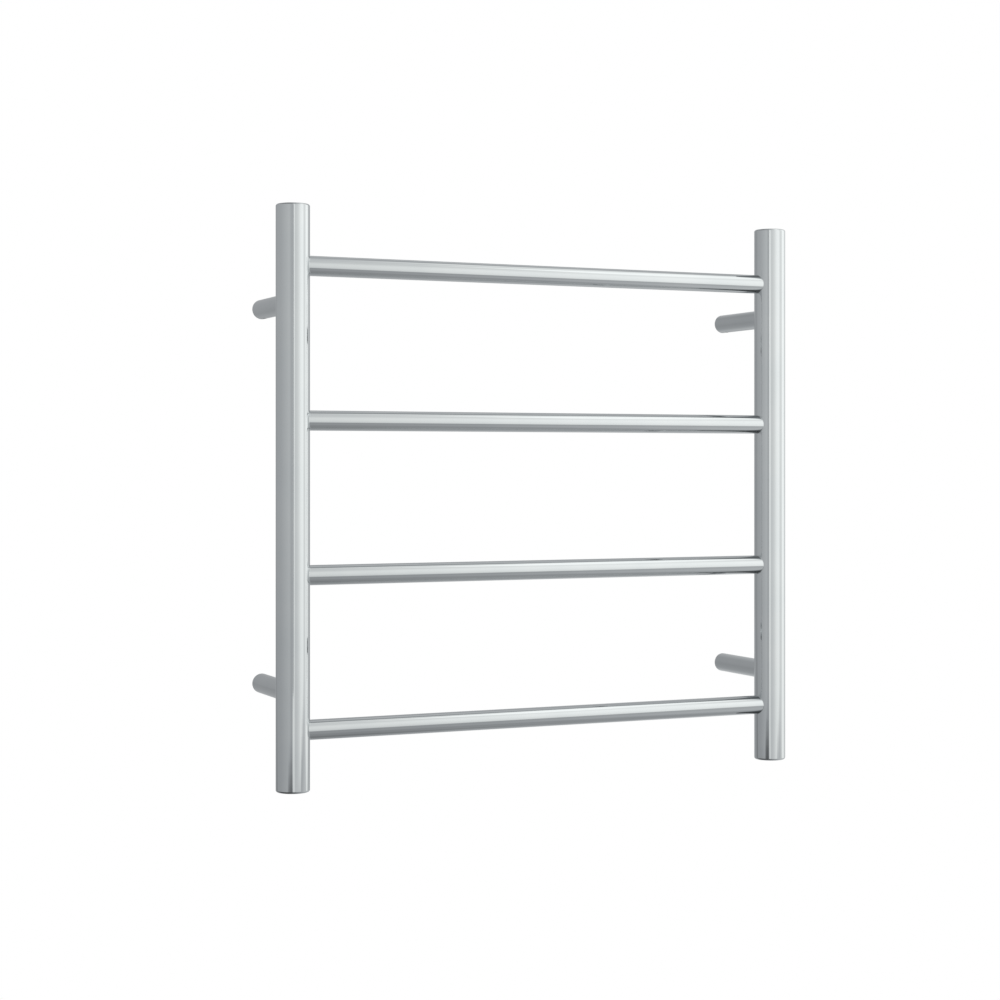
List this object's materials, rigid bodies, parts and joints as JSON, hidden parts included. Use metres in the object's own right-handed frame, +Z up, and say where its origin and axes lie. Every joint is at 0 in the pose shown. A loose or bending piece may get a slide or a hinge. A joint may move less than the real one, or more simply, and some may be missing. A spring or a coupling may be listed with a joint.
{
  "type": "towel warmer rack",
  "caption": "Wall-mounted ladder towel warmer: round horizontal rails welded between two round posts, held off the wall by tubular standoffs and heated from inside by a cable.",
  "frame": {"origin": "on the wall plane, at the centre of the rectangle of the four wall screw holes, which is also the centre of the rack seen from the front", "axes": "+X along the rails to the right seen from the front, +Y into the wall, +Z up"},
  "size_m": [0.55, 0.115, 0.55],
  "materials": {
    "polished_steel": "stainless steel, mechanically polished to a mirror along each tube",
    "turned_steel": "turned stainless steel, satin with fine lathe rings",
    "screw_steel": "plain stainless fastener steel, slightly dull",
    "grommet_rubber": "matt black silicone rubber",
    "shrink_sleeve": "satin black heat-shrink sleeve",
    "cutout_metal": "plain drawn metal can",
    "cable_silicone": "satin red-brown silicone insulation",
    "end_seal_rubber": "moulded black silicone, satin",
    "tag_brass": "plain brass, slightly dull",
    "earth_insulation": "green wire insulation with a yellow stripe"
  },
  "bodies": {
    "wall_fixings": {"wall_spigot_top_left": "turned_steel", "wall_spigot_top_right": "turned_steel", "wall_spigot_bottom_left": "turned_steel", "wall_spigot_bottom_right": "turned_steel", "lead_grommet": "grommet_rubber"},
    "rack": {"left_post": "polished_steel", "right_post": "polished_steel", "cap_top_left": "polished_steel", "cap_top_right": "polished_steel", "cap_bottom_left": "polished_steel", "cap_bottom_right": "polished_steel", "rail_1": "polished_steel", "rail_2": "polished_steel", "rail_3": "polished_steel", "rail_4": "polished_steel", "standoff_top_left": "polished_steel", "standoff_top_right": "polished_steel", "standoff_bottom_left": "polished_steel", "standoff_bottom_right": "polished_steel", "lead_splice": "shrink_sleeve", "thermal_cutout": "cutout_metal", "heating_cable": "cable_silicone", "cable_end_seal": "end_seal_rubber", "earth_stud": "screw_steel", "earth_washer": "screw_steel", "earth_tag": "tag_brass", "earth_nut": "tag_brass", "earth_wire": "earth_insulation"},
    "lock_screw_top_left": {"lock_screw_top_left": "screw_steel"},
    "lock_screw_top_right": {"lock_screw_top_right": "screw_steel"},
    "lock_screw_bottom_left": {"lock_screw_bottom_left": "screw_steel"},
    "lock_screw_bottom_right": {"lock_screw_bottom_right": "screw_steel"}
  },
  "joints": [
    {"name": "rack_slide_off", "type": "slide", "parent": "wall_fixings", "child": "rack", "axis": [0, -1, 0], "range_m": [0, 0.032]},
    {"name": "lock_screw_travel_top_left", "type": "slide", "parent": "rack", "child": "lock_screw_top_left", "axis": [0, 0, -1], "range_m": [0, 0.0024]},
    {"name": "lock_screw_travel_top_right", "type": "slide", "parent": "rack", "child": "lock_screw_top_right", "axis": [0, 0, -1], "range_m": [0, 0.0024]},
    {"name": "lock_screw_travel_bottom_left", "type": "slide", "parent": "rack", "child": "lock_screw_bottom_left", "axis": [0, 0, -1], "range_m": [0, 0.0024]},
    {"name": "lock_screw_travel_bottom_right", "type": "slide", "parent": "rack", "child": "lock_screw_bottom_right", "axis": [0, 0, -1], "range_m": [0, 0.0024]}
  ]
}
